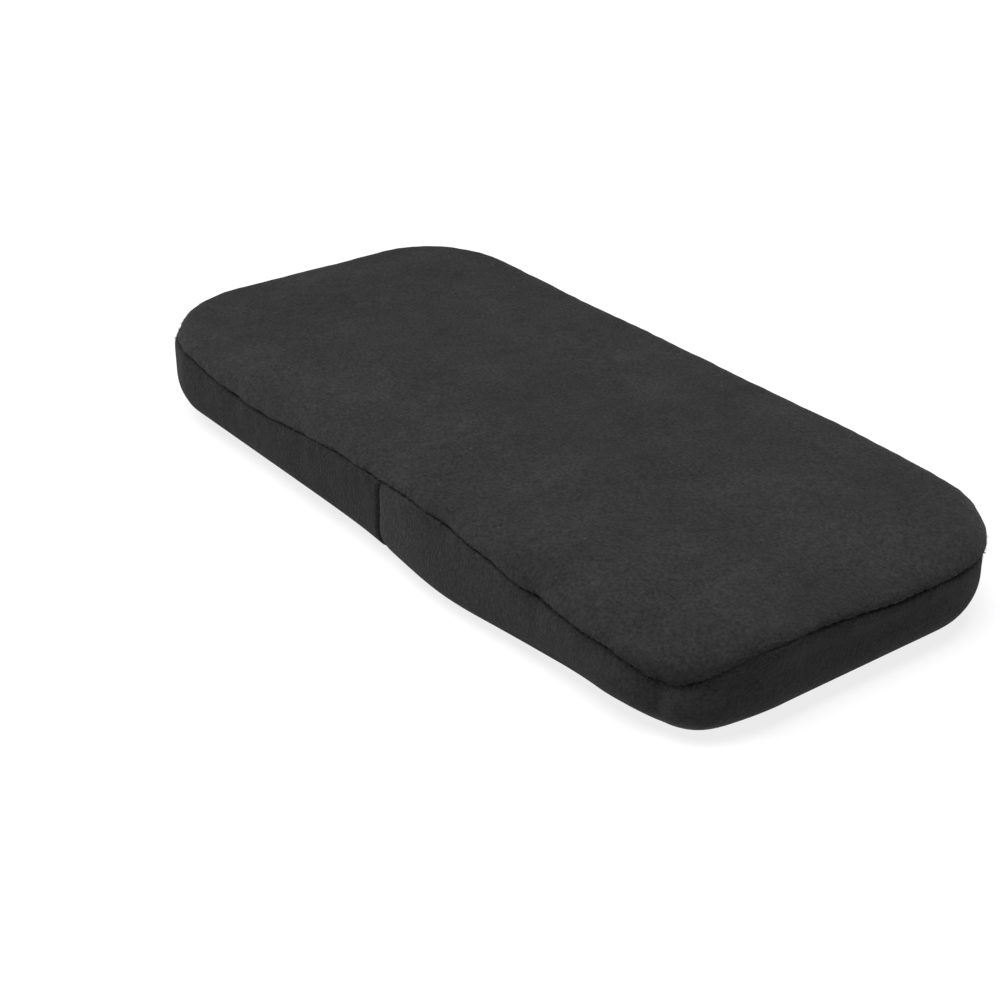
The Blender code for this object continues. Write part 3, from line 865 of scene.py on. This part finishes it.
def tubes(paths, facing, radius, sides, end_share=0.5):
    """Points and faces of round capped tubes along some paths, each point with a direction to face."""
    tangent = np.gradient(paths, axis=1)
    tangent /= np.linalg.norm(tangent, axis=-1, keepdims=True)
    across = np.cross(tangent, facing)
    across /= np.linalg.norm(across, axis=-1, keepdims=True)
    upright = np.cross(across, tangent)
    angle = np.arange(sides)[:, None] * 2 * math.pi / sides
    ring = across[:, :, None] * np.cos(angle) + upright[:, :, None] * np.sin(angle)
    taper = np.ones(paths.shape[1])
    taper[[0, -1]] = end_share
    points = paths[:, :, None] + ring * (radius * taper)[None, :, None, None]
    count = paths.shape[1] * sides
    side_faces = grid_faces(paths.shape[1], sides, wrap=True)
    faces = []
    for shift in range(0, len(paths) * count, count):
        faces += (side_faces + shift).tolist()
        faces += [list(range(shift, shift + sides))]
        faces += [list(range(shift + count - 1, shift + count - sides - 1, -1))]
    return points.reshape(-1, 3), faces


def evaluated_mesh(obj):
    """The mesh that an object's modifiers make."""
    graph = bpy.context.evaluated_depsgraph_get()
    return bpy.data.meshes.new_from_object(obj.evaluated_get(graph), depsgraph=graph)


def coordinates(mesh):
    """A mesh's points."""
    points = np.empty(len(mesh.vertices) * 3)
    mesh.vertices.foreach_get("co", points)
    return points.reshape(-1, 3)


# ---------------------------------------------------------------- stuffing


def held_points(points):
    """Which points of the slack cover its seams, its zip and the surface under it hold still."""
    u = np.arange(0, AROUND, CELL)
    seams = np.concatenate([surface(u, seam(u))[0] for seam in (top_seam, base_seam)])
    on_seam = np.array([np.linalg.norm(seams - point, axis=1).min() < HELD_REACH for point in points])
    at_zip = (points[:, 1] > HALF_WIDTH - TOP_ROUND) & (np.abs(points[:, 0]) < ZIP_END_X + HELD_REACH)
    return on_seam | at_zip | (points[:, 2] < BASE_SEAM_Z)


def simulate_stuffing():
    """Swell a slack closed copy of the pad by cloth simulation: its points, and how each one moved."""
    cover = closed_form("stuffing", SLACK)
    remesh = cover.modifiers.new("remesh", "REMESH")
    remesh.mode = "VOXEL"
    remesh.voxel_size = STUFFING_VOXEL
    cover.data = evaluated_mesh(cover)
    cover.modifiers.clear()
    before = coordinates(cover.data)
    held = cover.vertex_groups.new(name="held")
    held.add(np.flatnonzero(held_points(before)).tolist(), 1.0, "REPLACE")
    cloth = cover.modifiers.new("cloth", "CLOTH").settings
    cloth.vertex_group_mass = held.name
    cloth.use_pressure = True
    cloth.uniform_pressure_force = STUFFING_PRESSURE
    cloth.effector_weights.gravity = 0.0
    for number in range(1, STUFFING_FRAMES + 1):
        bpy.context.scene.frame_set(number)
    moves = coordinates(evaluated_mesh(cover)) - before
    length = np.linalg.norm(moves, axis=1, keepdims=True) + 1e-12
    moves *= MOST_SWELL * np.tanh(length / MOST_SWELL) / length
    bpy.context.scene.frame_set(1)
    bpy.data.objects.remove(cover)
    tree = KDTree(len(before))
    for index, point in enumerate(before):
        tree.insert(point, index)
    tree.balance()
    return tree, moves


# ---------------------------------------------------------------- the pieces


def add_piece(obj, body, material, slot, *nodes):
    """Give a piece its material and body, and let it stand for CAD nodes. The slot is not used."""
    obj.data.materials.append(material)
    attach(obj, body)
    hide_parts(*nodes)
    return obj


def dress(node, material, edge=None):
    """Give a CAD node a better material, and its edges a small round."""
    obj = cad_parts[node]
    for slot in obj.material_slots:
        slot.material = material
    if edge is not None:
        bevel = obj.modifiers.new("edges", "BEVEL")
        bevel.width = edge
        bevel.segments = 2


def make_foam(foam):
    """The foam block inside the cover."""
    add_piece(closed_form("foam_block", FOAM_INSET), "pad", foam, "memory_foam", "foam_core")


def make_cover():
    """The plush cover: top panel, the two lengths of side band, and the strips above and below the zip."""
    top = panel("plush_top", top_seam, 1)
    plush = plush_finish("plush_top", 1.0)
    add_piece(top, "pad", plush, "plush", "top_panel")
    zip_start, zip_end = rear(ZIP_END_X), rear(-ZIP_END_X)
    # The side bands and zip strips are darker copies of the plush: painted shade, deeper on the left length.
    right, left = plush_finish("plush_right_painted_shade", 0.92), plush_finish("plush_left_painted_shade", 0.74)
    strips = (
        ("boxing_right", right, JOIN_X, zip_start, top_seam, base_seam),
        ("boxing_left", left, zip_end, AROUND + JOIN_X, top_seam, base_seam),
        ("zip_strip_upper", right, zip_start, zip_end, top_seam, level(ZIP_WINDOW_HIGH)),
        ("zip_strip_lower", right, zip_start, zip_end, level(ZIP_WINDOW_LOW), base_seam),
    )
    for node, material, *edges in strips:
        add_piece(band("plush_" + node, *edges), "pad", material, "plush", node)


def make_base(cloth, grip):
    """The base cloth with its strap beds, and the silicone grips printed on it."""
    add_piece(panel("base_cloth_panel", base_seam, -1), "pad", cloth, "base_cloth", "bottom_panel")
    x, y = np.meshgrid(
        np.arange(-HALF_LENGTH, HALF_LENGTH, GRIP_PITCH),
        np.arange(-HALF_WIDTH, HALF_WIDTH, GRIP_PITCH * math.sqrt(3) / 2),
    )
    x[1::2] += GRIP_PITCH / 2
    x, y = x.ravel() - (x.max() + x.min()) / 2, y.ravel() - (y.max() + y.min()) / 2
    on_flat = inside_by(x, y) > BASE_ROUND + 2 * GRIP_RADIUS
    shifts = (0.0, GRIP_RADIUS, -GRIP_RADIUS)
    keep = on_flat & (sum(strap_bed(np.stack([x + shift, y, 0 * x], -1)) for shift in shifts) == 0)
    centres = np.stack([x[keep], y[keep]], 1)
    angle = np.arange(GRIP_SIDES) * 2 * math.pi / GRIP_SIDES
    height = BASE_CLOTH_Z + CLOTH_SHOWN / 2
    rounding = np.linspace(0, math.pi / 2, 4)[:-1]
    points, faces = [], []
    for centre in centres:
        first = len(points)
        for a in rounding:
            radius = GRIP_RADIUS * math.cos(a)
            z = height * (1 - math.sin(a)) + GRIP_CLEAR
            points += [(centre[0] + radius * math.cos(t), centre[1] + radius * math.sin(t), z) for t in angle]
        points.append((centre[0], centre[1], GRIP_CLEAR))
        faces += (grid_faces(len(rounding), GRIP_SIDES, wrap=True) + first).tolist()
        last = first + (len(rounding) - 1) * GRIP_SIDES
        faces += [(last + k, len(points) - 1, last + (k + 1) % GRIP_SIDES) for k in range(GRIP_SIDES)]
        faces.append([first + k for k in range(GRIP_SIDES)])
    grips = mesh_object("base_grips", np.array(points), faces, sharp_angle=60)
    add_piece(grips, "pad", grip, "base_cloth")


def stitch_piece(name, runs, thread, *nodes):
    """Stitches laid end to end along some runs, each run a path and the direction it faces."""
    all_paths, all_facing = [], []
    for path, facing in runs:
        at = np.concatenate([[0], np.cumsum(np.linalg.norm(np.diff(path, axis=0), axis=1))])
        count = max(1, round(at[-1] / (STITCH + STITCH_GAP)))
        pitch = at[-1] / count
        share = np.linspace(-0.5, 0.5, STITCH_POINTS)
        where = (np.arange(count)[:, None] + 0.5) * pitch + share * (pitch - STITCH_GAP)
        point = np.stack([np.interp(where, at, path[:, k]) for k in range(3)], -1)
        face = np.stack([np.interp(where, at, facing[:, k]) for k in range(3)], -1)
        dip = 2 * THREAD * (2 * share) ** 4
        all_paths.append(point - face * dip[None, :, None])
        all_facing.append(face)
    points, faces = tubes(np.concatenate(all_paths), np.concatenate(all_facing), THREAD / 2, THREAD_SIDES)
    stitches = mesh_object(name, points, faces)
    return add_piece(stitches, "pad", thread, "thread", *nodes)


def seam_run(u, s, depth):
    """A run of stitches over places on the cover, at a depth in it."""
    point, normal = surface(u, s)
    return point - normal * depth, normal


def make_stitching(thread):
    """The cover's seams, the zip's topstitching and the stitched boxes at the straps' ends."""
    u = np.arange(0, AROUND + CELL, CELL)
    stitch_piece("top_seam_stitches", [seam_run(u, top_seam(u), SEAM_DEPTH)], thread, "top_seam_thread")
    stitch_piece("base_seam_stitches", [seam_run(u, base_seam(u), SEAM_DEPTH)], thread, "bottom_seam_thread")
    upright = (
        ("front_join", JOIN_X, "front_join_thread"),
        ("zip_end_right", rear(ZIP_END_X), "zip_end_thread_right"),
        ("zip_end_left", rear(-ZIP_END_X), "zip_end_thread_left"),
    )
    for name, at, node in upright:
        s = np.linspace(float(top_seam(np.array(at))), float(base_seam(at)), JOIN_POINTS)
        run = seam_run(np.full(JOIN_POINTS, at), s, SEAM_DEPTH)
        stitch_piece(name + "_stitches", [run], thread, node)
    for place in ("upper", "lower"):
        node = "zip_stitching_" + place
        low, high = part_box(node)
        u = np.linspace(rear(high.x), rear(low.x), TOPSTITCH_POINTS)
        run = seam_run(u, down_to(middle(node).z), -THREAD / 3)
        stitch_piece("zip_topstitch_" + place, [run], thread, node)
    for side in ("left", "right"):
        for end in ("front", "rear"):
            node = "strap_stitching_" + side + "_" + end
            low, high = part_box(node)
            z = STRAP_PRESSED_Z - THREAD / 4
            around = (low.x, low.y), (high.x, low.y), (high.x, high.y), (low.x, high.y)
            corners = np.array([(x, y, z) for x, y in around])
            down = np.array([[0.0, 0.0, -1.0]] * 2)
            pairs = [(0, 1), (1, 2), (2, 3), (3, 0), (0, 2), (1, 3)]
            runs = [(corners[list(pair)], down) for pair in pairs]
            stitch_piece("strap_stitches_" + side + "_" + end, runs, thread, node)


def make_pile():
    """Loose pile that stands up along the top seam, most of it round the pad's right end."""
    rng = np.random.default_rng(5)
    count = int(AROUND * PILE_PER_METRE)
    brushed = rng.uniform(size=count) < PILE_BRUSHED
    at_end = rng.triangular(PILE_BRUSHED_START, FILLED_AT, FAR_CORNER, count)
    u = np.where(brushed, at_end, rng.uniform(0, AROUND, count))
    s = top_seam(u) + rng.normal(0, PILE_REACH / 2, count)
    root, normal = surface(u, s)
    lean = rng.normal(0, PILE_LEAN, (count, 3))
    lean -= normal * (lean * normal).sum(1, keepdims=True)
    length = PILE_LENGTH * rng.uniform(*PILE_LENGTH_SHARES, count)
    share = np.linspace(-PILE_ROOT, 1, 4)
    path = root[:, None] + normal[:, None] * (share * length[:, None] * PILE_RISE)[..., None]
    path += lean[:, None] * (share**2 * length[:, None])[..., None]
    path -= normal[:, None] * np.maximum(0, PILE_SUNK - np.abs(s - top_seam(u)))[:, None, None]
    facing = np.cross(normal, PILE_ASKEW)
    facing = np.broadcast_to(facing[:, None], path.shape)
    points, faces = tubes(path, facing, PILE_RADIUS, PILE_SIDES, end_share=0.3)
    points[:, 2] = np.maximum(points[:, 2], BASE_CLOTH_Z)
    # The pile is a lighter copy of the plush: a painted highlight on its fibres.
    add_piece(mesh_object("plush_pile", points, faces), "pad", plush_finish("plush_pile", 1.7), "plush")


def make_strap_half(side, end, elastic):
    """Half of an elastic strap, from its sewn end to the pad's middle line, where it stretches most."""
    low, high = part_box("strap_" + side)
    forward = -1 if end == "front" else 1
    y = np.append(np.arange(high.y, 0, -STRAP_CELL), 0.0)
    half = (high.x - low.x) / 2 - STRAP_CLEAR
    across = half * np.sin(np.linspace(-math.pi / 2, math.pi / 2, STRAP_COLUMNS))
    edge = np.clip((np.abs(across) - half + STRAP_EDGE) / STRAP_EDGE, 0, 1)
    round_off = np.sqrt(1 - edge**2 * 0.8)
    pressed = smooth(y, STRAP_SEWN_Y, STRAP_SEWN_Y + STRAP_PRESS_RUN)
    bottom = STRAP_CLEAR + (STRAP_PRESSED_Z - STRAP_CLEAR) * pressed
    top = np.full(len(y), high.z - STRAP_CLEAR)
    rib = STRAP_RIB_DEPTH * np.cos(2 * math.pi * y / STRAP_RIB)
    centre, thick = (bottom + top) / 2, (top - bottom) / 2 - STRAP_RIB_DEPTH + rib
    loop_x = np.concatenate([across, across[-2:0:-1]])
    loop_round = np.concatenate([-round_off, round_off[-2:0:-1]])
    rows = np.stack(
        [
            np.broadcast_to(middle("strap_" + side).x + loop_x, (len(y), len(loop_x))),
            np.broadcast_to((forward * y)[:, None], (len(y), len(loop_x))),
            centre[:, None] + thick[:, None] * loop_round,
        ],
        -1,
    )
    count = len(loop_x)
    faces = grid_faces(len(y), count, wrap=True).tolist()
    faces += [list(range(count)), list(range(len(y) * count - 1, (len(y) - 1) * count - 1, -1))]
    if forward > 0:
        faces = [face[::-1] for face in faces]
    strap = mesh_object("strap_" + side + "_" + end + "_half", rows.reshape(-1, 3), faces, sharp_angle=50)
    strap.data.materials.append(elastic)
    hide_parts("strap_" + side)
    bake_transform(strap)


def make_coil(side, lean, nylon):
    """One side's row of zip teeth, a nylon coil sewn along the tape's edge."""
    node = "zip_teeth_" + side
    low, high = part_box(node)
    centre = middle(node)
    half_y, half_z = (high.y - low.y - COIL_WIRE) / 2, (high.z - low.z - COIL_WIRE) / 2
    turns = (high.x - low.x - COIL_WIRE) / COIL_PITCH
    angle = np.linspace(0, turns * 2 * math.pi, int(turns * COIL_STEPS))
    x = low.x + COIL_WIRE / 2 + angle / (2 * math.pi) * COIL_PITCH
    y, z = np.sin(angle), lean * np.cos(angle)
    path = np.stack([x, centre.y + half_y * y, centre.z + half_z * z], 1)
    facing = np.stack([0 * x, y / half_y, z / half_z], 1)
    facing /= np.linalg.norm(facing, axis=1, keepdims=True)
    points, faces = tubes(path[None], facing[None], COIL_WIRE / 2, THREAD_SIDES)
    add_piece(mesh_object("zip_coil_" + side, points, faces), "pad", nylon, "zip_nylon", node)


def make_zip():
    """The zip: coils in place of the plain teeth, and the rest in its own materials."""
    nylon, tape, metal = nylon_finish(), tape_finish(), metal_finish()
    make_coil("upper", 1, nylon)
    make_coil("lower", -1, nylon)
    for node in ("zip_tape_upper", "zip_tape_lower"):
        dress(node, tape)
    for node in ("zip_top_stop_upper", "zip_top_stop_lower", "zip_bottom_stop", "zip_slider", "zip_pull"):
        dress(node, metal, edge=METAL_EDGE)


SWELL = None
SWELL = simulate_stuffing()
make_camera()
make_light()
make_floor()
make_foam(foam_finish())
make_cover()
make_pile()
make_base(base_finish(), grip_finish())
make_stitching(thread_finish())
make_zip()
strap_elastic = elastic_finish()
for strap_side in ("left", "right"):
    for strap_end in ("front", "rear"):
        make_strap_half(strap_side, strap_end, strap_elastic)
